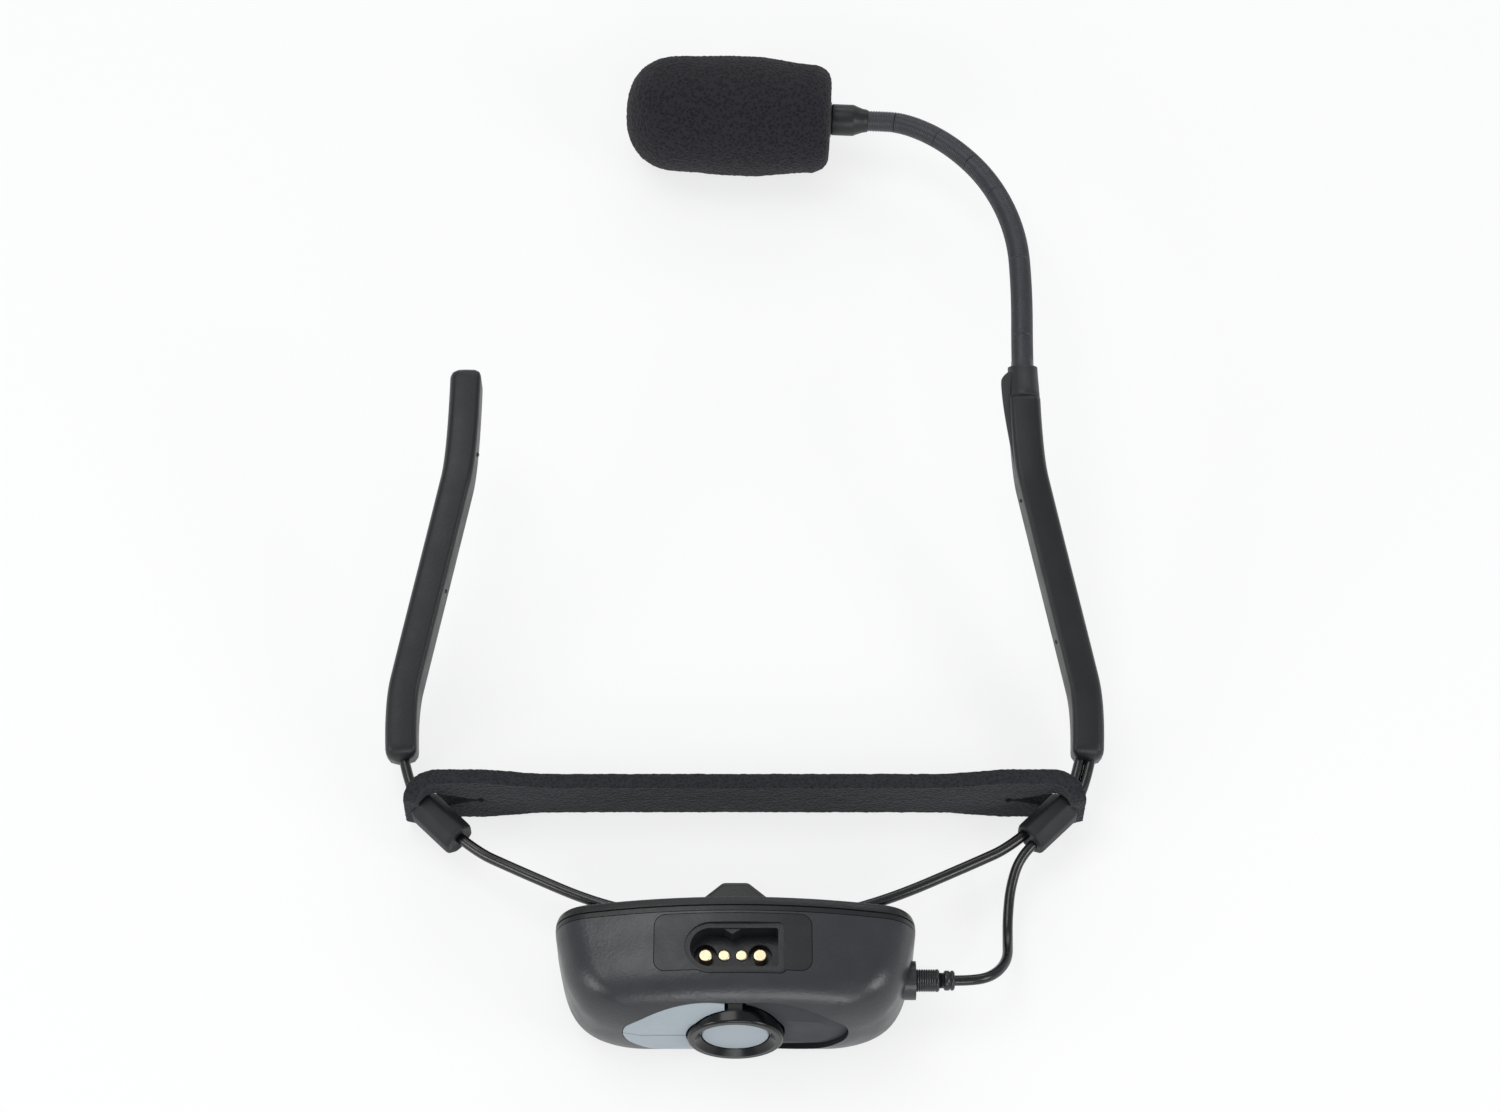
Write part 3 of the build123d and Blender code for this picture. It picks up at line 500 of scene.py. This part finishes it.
def seen_as_white(tree, shader, white, share):
    """Mix in plain white for what the camera and reflections see directly."""
    path = tree.nodes.new("ShaderNodeLightPath")
    direct = tree.nodes.new("ShaderNodeMath")
    direct.operation = "MAXIMUM"
    tree.links.new(path.outputs["Is Camera Ray"], direct.inputs[0])
    tree.links.new(path.outputs["Is Glossy Ray"], direct.inputs[1])
    through = tree.nodes.new("ShaderNodeMath")
    through.operation = "MAXIMUM"
    tree.links.new(direct.outputs[0], through.inputs[0])
    tree.links.new(path.outputs["Is Transmission Ray"], through.inputs[1])
    amount = tree.nodes.new("ShaderNodeMath")
    amount.operation = "MULTIPLY"
    amount.inputs[1].default_value = share
    tree.links.new(through.outputs[0], amount.inputs[0])
    mix = tree.nodes.new("ShaderNodeMixShader")
    tree.links.new(amount.outputs[0], mix.inputs[0])
    tree.links.new(shader, mix.inputs[1])
    tree.links.new(white, mix.inputs[2])
    return mix.outputs[0]


def floor_material():
    material = bpy.data.materials.new("floor_pale")
    material.use_nodes = True
    tree = material.node_tree
    tree.nodes.clear()
    diffuse = tree.nodes.new("ShaderNodeBsdfDiffuse")
    diffuse.inputs["Color"].default_value = (0.88, 0.88, 0.89, 1)
    glow = tree.nodes.new("ShaderNodeEmission")
    glow.inputs["Color"].default_value = (1, 1, 1, 1)
    out = tree.nodes.new("ShaderNodeOutputMaterial")
    mixed = seen_as_white(tree, diffuse.outputs[0], glow.outputs[0], 0.72)
    tree.links.new(mixed, out.inputs["Surface"])
    return material


def build_world():
    world = bpy.data.worlds.new("studio")
    bpy.context.scene.world = world
    world.use_nodes = True
    tree = world.node_tree
    tree.nodes.clear()
    soft = tree.nodes.new("ShaderNodeBackground")
    soft.inputs["Color"].default_value = (0.95, 0.97, 1.0, 1)
    soft.inputs["Strength"].default_value = 0.5
    white = tree.nodes.new("ShaderNodeBackground")
    white.inputs["Color"].default_value = (1, 1, 1, 1)
    path = tree.nodes.new("ShaderNodeLightPath")
    mix = tree.nodes.new("ShaderNodeMixShader")
    out = tree.nodes.new("ShaderNodeOutputWorld")
    tree.links.new(path.outputs["Is Camera Ray"], mix.inputs[0])
    tree.links.new(soft.outputs[0], mix.inputs[1])
    tree.links.new(white.outputs[0], mix.inputs[2])
    tree.links.new(mix.outputs[0], out.inputs["Surface"])


def softbox(name, place, target, width, height, power):
    data = bpy.data.lights.new(name, "AREA")
    data.shape = "RECTANGLE"
    data.size = width
    data.size_y = height
    data.energy = power
    lamp = bpy.data.objects.new(name, data)
    lamp.location = place
    lamp.rotation_euler = (Vector(target) - Vector(place)).to_track_quat("-Z", "Y").to_euler()
    bpy.context.scene.collection.objects.link(lamp)


# name, place, what it points at, width, height, power
SOFTBOXES = [
    ("key_box", (-0.25, 0.25, 0.75), (0, 0.08, 0), 0.45, 0.45, 1.6),
    ("front_box", (0.1, -0.75, 0.35), (0, 0.0, 0.01), 0.6, 0.22, 2.2),
    ("right_box", (0.6, -0.2, 0.35), (0.02, 0.05, 0.02), 0.35, 0.25, 1.5),
    ("left_box", (-0.6, -0.2, 0.32), (-0.02, 0.03, 0.02), 0.35, 0.25, 1.3),
    ("far_box", (0.1, 0.8, 0.5), (0, 0.1, 0.02), 0.7, 0.25, 1.0),
]


def build_stage():
    """A pale floor, a bright world and five softboxes."""
    half = 1.6
    mesh = bpy.data.meshes.new("floor")
    corners = [(-half, -half, 0), (half, -half, 0), (half, half, 0), (-half, half, 0)]
    mesh.from_pydata(corners, [], [(0, 1, 2, 3)])
    mesh.materials.append(floor_material())
    floor = bpy.data.objects.new("floor", mesh)
    bpy.context.scene.collection.objects.link(floor)
    build_world()
    for box in SOFTBOXES:
        softbox(*box)


# ---------------------------------------------------------------- lead, plug and band wire
def build_lead():
    lead = nurbs("mic_lead_curve", lead_route, lead_diameter / 2)
    dress(lead, "wire")
    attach(lead, "transmitter_and_band")
    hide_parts("mic_lead")
    return lead


def build_plug():
    """The ribbed body of the plug, and the neck and collar behind it."""
    origin = Vector((plug_low.x, jack.y, jack.z)) * MM
    axis = Vector((1, 0, 0))
    length = plug_high.x - plug_low.x
    body = [(0, 0.5), (0, plug_radius - 0.25), (0.2, plug_radius)]
    groove = plug_radius - plug_groove
    for index in range(int((length - 0.7) / plug_rib)):
        start = 0.35 + index * plug_rib
        body += [(start, plug_radius), (start + 0.08, groove), (start + 0.2, groove),
                 (start + 0.28, plug_radius)]
    body += [(length - 0.25, plug_radius), (length, plug_radius - 0.3), (length, 0.5)]
    body_piece = turned("plug_body_ribbed", origin, axis, body, 48, "boss")
    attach(body_piece, "transmitter_and_band")
    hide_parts("plug_body")
    neck = relief_high.x - relief_low.x
    collar = plug_radius - 0.25
    relief = [(0, 0.5), (0, collar - 0.4), (0.75, collar - 0.4), (0.9, collar - 0.1), (1.0, collar),
              (1.75, collar), (1.85, collar - 0.2), (2.0, collar - 0.2), (2.1, collar), (neck - 0.3, collar),
              (neck - 0.05, collar - 0.35), (neck - 0.02, lead_diameter / 2 + 0.1), (neck - 0.1, 0.5)]
    start = Vector((relief_low.x, jack.y, jack.z)) * MM
    relief_piece = turned("plug_collar", start, axis, relief, 48, "boss")
    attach(relief_piece, "transmitter_and_band")
    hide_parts("plug_relief")
    return [body_piece, relief_piece, frame["nodes"]["plug_pin"]]


def build_band_wire():
    left = on_band(half_band, -1)
    right = side_step(on_band(half_band, 1), -strand_offset)
    right[0] = on_band(half_band[:1], 1)[0]
    wire = nurbs("band_wire_curve", list(reversed(left)) + right, wire_diameter / 2)
    dress(wire, "wire")
    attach(wire, "transmitter_and_band")
    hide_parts("band_wire")


# ---------------------------------------------------------------- beads
def build_bead(side, node):
    """A soft six-sided slider with rounded corners and a shallow dish at each end."""
    low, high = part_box(node)
    centre = (low + high) / 2
    axis = Vector((side, 1, 0)).normalized()
    across = Vector((1, -side, 0)).normalized()
    wide, tall = bead_half_width, size_of(node).z / 2
    flat_wide, flat_tall = wide * 0.35, tall * 0.45
    corners = [(-wide, -flat_tall), (-flat_wide, -tall), (flat_wide, -tall), (wide, -flat_tall),
               (wide, flat_tall), (flat_wide, tall), (-flat_wide, tall), (-wide, flat_tall)]
    outline = rounded_outline(corners, [bead_corner] * len(corners))
    near = [(-bead_half_length + inset, share) for inset, share in bead_end]
    far = [(-along, share) for along, share in reversed(near)]
    rings = []
    for along, share in near + [(0, 1.0)] + far:
        rings.append([centre + (across * p.x * share + UP * p.y * share + axis * along) * MM
                      for p in outline])
    bead = ring_piece(node + "_slider", rings, "bead")
    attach(bead, "transmitter_and_band")
    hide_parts(node)


# ---------------------------------------------------------------- foam neck strap
def strap_place(along):
    """Plan place and outward side of the strap's mid line, by distance from its middle."""
    line_y = strap_high.y - strap_thickness / 2
    if along <= hook_middle:
        return Vector((along, line_y)), Vector((0, 1))
    angle = math.pi / 2 - (along - hook_middle) / hook_radius
    outward = Vector((math.cos(angle), math.sin(angle)))
    return Vector((hook_middle, line_y - hook_radius)) + outward * hook_radius, outward


def strap_edges(along):
    """Lowest and highest z of the strap at a distance from its middle."""
    narrow = strap_narrow_by * (1 - smooth_step(along, strap_narrow_to, strap_wide_from))
    from_end = hook_middle + hook_arc - along
    nip = 0.0
    if from_end < lobe_reach:
        nip = lobe_nip * (1 - math.sqrt(max(1 - (1 - from_end / lobe_reach) ** 2, 0)))
    return strap_low.z + narrow + nip, strap_high.z - narrow - nip


def in_slit(along):
    """Whether a distance from the strap's middle is at or past the keyhole's inner end."""
    return along >= slit_start - keyhole_radius - 0.01


def slit_half(along):
    """Half height of the slit: a round keyhole, a narrow neck, then a wedge."""
    if not in_slit(along):
        return 0.0
    if along <= neck_start:
        return max(math.sqrt(max(keyhole_radius ** 2 - (along - slit_start) ** 2, 0)), 0.08)
    wedge = slit_neck + slit_open * smooth_step(along, neck_start, hook_middle + 2.5)
    tail = max(slit_stop - along, 0) / slit_tail
    return wedge if tail >= 1 else max(wedge * math.sqrt(1 - (1 - tail) ** 2), 0.6)


def half_strap_stations():
    """Distances from the middle where the strap gets a section: closest round the keyhole."""
    stations = [n * 4.0 for n in range(12)]
    stations += [slit_start + step for step in (-3.2, -1.8, -1.1, -0.8, -0.6, -0.3, 0, 0.3, 0.55, 1.0,
                                                1.8, 2.8, 4.0, 5.2, 6.4)]
    stations += [hook_middle]
    arc_steps = 12
    open_arc = slit_stop - hook_middle
    stations += [hook_middle + open_arc * n / arc_steps for n in range(1, arc_steps + 1)]
    end = hook_middle + hook_arc
    stations += [slit_stop + 0.5, slit_stop + 1.1, end - 0.7, end - 0.3, end - 0.06]
    return stations


def build_strap():
    """A foam strip that hooks round at both ends, with a slit that each bead's wires pass through."""
    half = half_strap_stations()
    stations = [-s for s in reversed(half[1:])] + half
    vertices = []
    for signed in stations:
        along = abs(signed)
        side = -1 if signed < 0 else 1
        place, outward = strap_place(along)
        low, high = strap_edges(along)
        centre = (strap_low.z + strap_high.z) / 2
        gap = slit_half(along) or keyhole_radius
        heights = [low, low + 0.5, centre - gap - 0.35, centre - gap,
                   centre + gap, centre + gap + 0.35, high - 0.5, high]
        for face in (-1, 1):
            for z in heights:
                spot = place + outward * face * strap_thickness / 2
                vertices.append(point(band_x + side * spot.x, spot.y, z))
    rows = 8
    ring = 2 * rows
    faces = []

    cuts = [in_slit(min(abs(a), abs(b))) and max(abs(a), abs(b)) <= slit_stop + 0.01
            for a, b in zip(stations, stations[1:])]
    for index, cut in enumerate(cuts):
        here = index * ring
        there = here + ring
        for face in (0, rows):
            for row in range(rows - 1):
                if cut and row == 3:
                    continue
                faces.append((here + face + row, here + face + row + 1,
                              there + face + row + 1, there + face + row))
        for row in ([0, rows - 1, 3, 4] if cut else [0, rows - 1]):
            faces.append((here + row, here + rows + row, there + rows + row, there + row))
    last = (len(stations) - 1) * ring
    for base in (0, last):
        for row in range(rows - 1):
            faces.append((base + row, base + row + 1, base + rows + row + 1, base + rows + row))
    for index in range(1, len(stations) - 1):
        if cuts[index - 1] != cuts[index]:
            base = index * ring
            faces.append((base + 3, base + 4, base + rows + 4, base + rows + 3))
    strap = mesh_piece("neck_strap_foam", vertices, faces, "strap")
    crease_rims(strap, 0.45)
    subdivide = strap.modifiers.new("subdivide", "SUBSURF")
    subdivide.levels = subdivide.render_levels = 3
    apply_modifiers(strap)
    soften(strap, 0.06, 420, 0.09, 1600)
    dress(strap, "strap")
    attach(strap, "transmitter_and_band")
    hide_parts("neck_strap")


def crease_rims(obj, amount):
    """Keep the cut edges of a foam sheet fairly crisp under subdivision."""
    shape = bmesh.new()
    shape.from_mesh(obj.data)
    layer = shape.edges.layers.float.new("crease_edge")
    for edge in shape.edges:
        if len(edge.link_faces) == 2 and edge.calc_face_angle(0) > math.radians(50):
            edge[layer] = amount
    shape.to_mesh(obj.data)
    shape.free()


def soften(obj, wave_height, wave_scale, grain_height, grain_scale):
    """Move each point along its normal by two noise fields, so foam isn't dead flat."""
    mesh = obj.data
    moved = []
    for vertex in mesh.vertices:
        wave = noise.noise(vertex.co * wave_scale) * wave_height
        grain = noise.noise(vertex.co * grain_scale) * grain_height
        moved.append(vertex.co + vertex.normal * (wave + grain - grain_height * 0.5) * MM)
    for vertex, place in zip(mesh.vertices, moved):
        vertex.co = (place.x, place.y, max(place.z, 0.0))
    mesh.update()


# ---------------------------------------------------------------- ear arms
ARM_CORNERS = [(-2.5, -3.7), (-3.0, -2.8), (-3.0, 2.3), (-2.2, 3.5), (-0.4, 3.7),
               (2.5, 3.55), (3.0, 2.9), (3.0, -2.8), (2.5, -3.7)]
ARM_ROUNDS = [0.7, 0.7, 1.2, 1.2, 1.4, 0.5, 0.45, 0.7, 0.7]


def arm_rings(side, points, step, end_lengths):
    """Rings of the arm's section along its line, drawn in at both ends."""
    outline = rounded_outline(ARM_CORNERS, ARM_ROUNDS)
    places, runs = walk(on_band(points, side), step)
    total = sum((b - a).length for a, b in zip(places, places[1:])) / MM
    rings = []
    travelled = 0.0
    for index, (place, run) in enumerate(zip(places, runs)):
        if index:
            travelled += (place - places[index - 1]).length / MM
        share = 1.0
        for distance, reach in ((travelled, end_lengths[0]), (total - travelled, end_lengths[1])):
            if reach and distance < reach:
                share *= math.sqrt(max(1 - (1 - distance / reach) ** 2, 0.02))
        across = UP.cross(run).normalized()
        inward = across * side
        top = run.cross(across)
        sink = (1 - share) * arm_end_sink
        rings.append([place + (inward * p.x * share + top * (p.y * share - sink)) * MM for p in outline])
    return rings


def build_nub(name, place, run, side, body):
    """A small mould mark on the inner edge of an arm."""
    inward = UP.cross(run) * side
    centre = place + (inward * nub_inset + UP * 0.2) * MM
    axis = Vector((-side, 0.15, 0.25)).normalized()
    profile = [(-0.6, nub_radius), (0.15, nub_radius), (0.4, nub_radius * 0.75), (0.5, 0.05)]
    nub = turned(name, centre, axis, profile, 16, "arm")
    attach(nub, body)


def build_left_arm():
    arm = ring_piece("left_arm_bar", arm_rings(-1, arm_route, 0.8, (2.2, 2.6)), "arm")
    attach(arm, "left_ear_arm")
    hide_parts("left_arm")
    places, runs = walk(on_band(arm_route, -1), 1.0)
    for number, index in enumerate((-19, -46)):
        build_nub(f"left_arm_nub_{number}", places[index], runs[index], -1, "left_ear_arm")


def build_right_arm():
    seam = socket_low.y
    rings = arm_rings(1, arm_route, 0.8, (2.2, 0))
    rings = [ring for ring in rings if sum(v.y for v in ring) / len(ring) < (seam - 0.3) * MM]
    last = [Vector((v.x, (seam - 0.05) * MM, v.z)) for v in rings[-1]]
    arm = ring_piece("right_arm_bar", rings + [last], "arm")
    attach(arm, "right_ear_arm")
    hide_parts("right_arm")
    places, runs = walk(on_band(arm_route, 1), 1.0)
    for number, index in enumerate((24, 52)):
        build_nub(f"right_arm_nub_{number}", places[index], runs[index], 1, "right_ear_arm")


def build_socket():
    """The sleeve at the front of the right arm: a centre ridge, a rim and a fin."""
    axis_x = boom_joints[0].x / MM
    axis_z = boom_joints[0].z / MM
    start = socket_low.y + 0.08
    stop = socket_high.y
    rear = [(-2.4, -3.7), (-3.0, -2.2), (-3.0, 1.8), (-1.7, 3.3), (0.1, 3.75),
            (1.7, 3.3), (3.0, 1.5), (3.0, -2.4), (2.4, -3.7)]
    rear_outline = rounded_outline(rear, [0.7, 0.9, 1.2, 0.9, 0.35, 0.9, 1.2, 0.9, 0.7])
    rings = []
    for share in (0.0, 0.04, 0.2, 0.4, 0.6, 0.8, 0.93, 0.985, 1.0):
        y = start + (stop - start) * share
        bevel = 0.12 if share in (0.0, 1.0) else 0.0
        ring = []
        for p in rear_outline:
            angle = math.atan2(p.y, p.x)
            round_place = Vector((math.cos(angle), math.sin(angle))) * socket_mouth
            spot = p.lerp(round_place, smooth_step(share, 0.0, 1.0)) * (1 - bevel / 3)
            back = socket_slant * share * (spot.y + socket_mouth)
            ring.append(point(axis_x - spot.x, y - back, axis_z + spot.y))
        rings.append(ring)
    floor = start + socket_floor
    for y, radius in ((stop - 0.08, socket_bore + 0.08), (stop - 0.5, socket_bore),
                      (floor, socket_bore), (floor, 1.0)):
        ring = []
        for p in rear_outline:
            angle = math.atan2(p.y, p.x)
            height = math.sin(angle) * radius
            back = socket_slant * (height + socket_mouth) if y > floor else 0
            ring.append(point(axis_x - math.cos(angle) * radius, y - back, axis_z + height))
        rings.append(ring)
    # the sleeve wears the lighter copy of the arm rubber, which is painted light
    sleeve = ring_piece("boom_socket_sleeve", rings, "arm_front_painted_light")
    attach(sleeve, "right_ear_arm")
    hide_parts("boom_socket")
    build_fin()


def build_fin():
    """A thin flange on the inner side, tall at the socket and fading back along the arm."""
    places, runs = walk(on_band(arm_route, 1), 0.5)
    rings = []
    for place, run in zip(places, runs):
        y = place.y / MM
        if not fin_rear_y <= y <= fin_front_y:
            continue
        rise = smooth_step(y, fin_rear_y, fin_full_y)
        fall = (1 - smooth_step(y, fin_full_y, fin_front_y)) ** 0.5
        width = fin_width * rise * fall
        inward = UP.cross(run).normalized()
        middle = place + UP * 0.9 * MM
        outline = rounded_outline([(1.5, -0.7), (3.02 + width, -0.55), (3.02 + width, 0.55), (1.5, 0.7)],
                                  [0.2, 0.35, 0.35, 0.2])
        rings.append([middle + (inward * p.x + UP * p.y) * MM for p in outline])
    # the fin wears the lighter copy of the arm rubber, which is painted light
    fin = ring_piece("boom_socket_fin", rings, "arm_front_painted_light")
    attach(fin, "right_ear_arm")


def build_strand(name, side, offset, diameter, node):
    """A strand that crosses the spread hinge between a bead and its ear arm."""
    points = side_step(on_band(strand_route, side), offset)
    places, runs = walk(points, 0.5)
    rings = [circle_ring(place, run, diameter / 2 * MM, 20) for place, run in zip(places, runs)]
    strand = ring_piece(name, rings, "wire")
    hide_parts(node)
    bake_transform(strand)


# ---------------------------------------------------------------- boom
def build_boom():
    """A ribbed sleeve in nine stretches, each laid round one of the boom's joints."""
    places, runs = walk(boom_route, rib_pitch / rings_per_rib)
    cuts = [(a + b) / 2 for a, b in zip(boom_joints, boom_joints[1:])]
    radius = boom_diameter / 2
    rib = (radius - rib_depth, radius, radius - 0.02)
    rings = [circle_ring(place, run, rib[index % rings_per_rib] * MM, 28)
             for index, (place, run) in enumerate(zip(places, runs))]
    nearest = [min(range(len(places)), key=lambda i, c=cut: (places[i] - c).length) for cut in cuts]
    bounds = [0] + nearest + [len(places) - 1]
    for number, joint in enumerate(boom_joints):
        start, stop = bounds[number], bounds[number + 1]
        skin = ring_piece(f"boom_skin_{number}", rings[start:stop + 1], "boom")
        if number:
            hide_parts(f"boom_link_{number}")
        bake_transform(skin)


# ---------------------------------------------------------------- microphone head
def build_boot():
    """The rubber sleeve behind the windscreen, stepped up from the boom."""
    profile = [(-7.6, 0.8), (-7.6, 2.15), (-7.3, 2.35), (-6.4, 2.5), (-5.3, 2.9), (-4.9, 3.05), (-4.6, 3.2),
               (-4.3, 3.25), (-0.3, 3.25), (-0.05, 3.2), (0.12, 3.0), (0.12, 0.8)]
    boot = turned("mic_boot_sleeve", mic_face, mic_axis, profile, 64, "boot")
    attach(boot, "mic_head")
    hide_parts("mic_boot")


def windscreen_profile():
    """Distance along the axis and radius, from the bore's floor to the nose."""
    bore = 4.25
    bore_end = 19.4
    profile = [(bore_end, 0.02), (bore_end, 2.2), (bore_end, bore), (12.0, bore), (6.0, bore), (1.0, bore),
               (0.45, bore + 0.25)]
    shoulder, shoulder_radius = 3.7, 11.3
    profile += [(0.25, 5.4), (0.25, 6.6), (0.25, 7.6), (0.4, 8.6), (0.8, 9.5), (1.5, 10.3), (2.5, 10.85),
                (shoulder, shoulder_radius)]
    barrel_steps = 60
    swell, swell_end = 1.2, 17.0
    taper, taper_start = 0.4, 21.0
    nose_radius = 12.1
    nose_centre = windscreen_length - nose_radius
    for index in range(1, barrel_steps + 1):
        along = shoulder + (nose_centre - shoulder) * index / barrel_steps
        rise = smooth_step(along, shoulder, swell_end)
        fall = smooth_step(along, taper_start, nose_centre)
        profile.append((along, shoulder_radius + swell * rise - taper * fall))
    nose_steps = 48
    blunt = 2 / 2.4
    for index in range(1, nose_steps):
        angle = math.pi / 2 * index / nose_steps
        profile.append((nose_centre + nose_radius * math.sin(angle) ** blunt,
                        nose_radius * math.cos(angle) ** blunt))
    profile.append((windscreen_length - 0.01, 0.03))
    return profile


def build_windscreen():
    """The foam cover: turned, then pitted by two noise fields everywhere but in its bore."""
    cover = turned("foam_windscreen", mic_face, mic_axis, windscreen_profile(), 240, "windscreen")
    bore_reach = 5.0 * MM
    front_reach = 30.0 * MM
    mesh = cover.data
    moved = []
    for vertex in mesh.vertices:
        offset = vertex.co - mic_face
        outward = offset - mic_axis * offset.dot(mic_axis)
        pit = 0.0
        if outward.length > bore_reach or offset.dot(mic_axis) > front_reach:
            coarse = noise.noise(vertex.co * 420)
            fine = noise.noise(vertex.co * 1900 + Vector((7, 3, 5)))
            pit = -0.12 + coarse * 0.06 + fine * 0.17
        moved.append(vertex.co + vertex.normal * pit * MM)
    for vertex, place in zip(mesh.vertices, moved):
        vertex.co = (place.x, place.y, max(place.z, 0.0))
    mesh.update()
    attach(cover, "foam_cover")
    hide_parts("windscreen")


# ---------------------------------------------------------------- build
build_stage()
lead = build_lead()
plug_pieces = build_plug()
build_band_wire()
build_bead(-1, "left_bead")
build_bead(1, "right_bead")
build_strap()
build_left_arm()
build_right_arm()
build_socket()
build_strand("left_arm_wire_strand", -1, 0.0, wire_diameter, "left_arm_wire")
build_strand("right_arm_wire_strand", 1, -strand_touch, wire_diameter, "right_arm_wire")
build_strand("right_cable_strand", 1, strand_touch, lead_diameter, "right_mic_cable")
build_boom()
build_boot()
build_windscreen()

scene = bpy.context.scene
scene.view_settings.view_transform = "Standard"
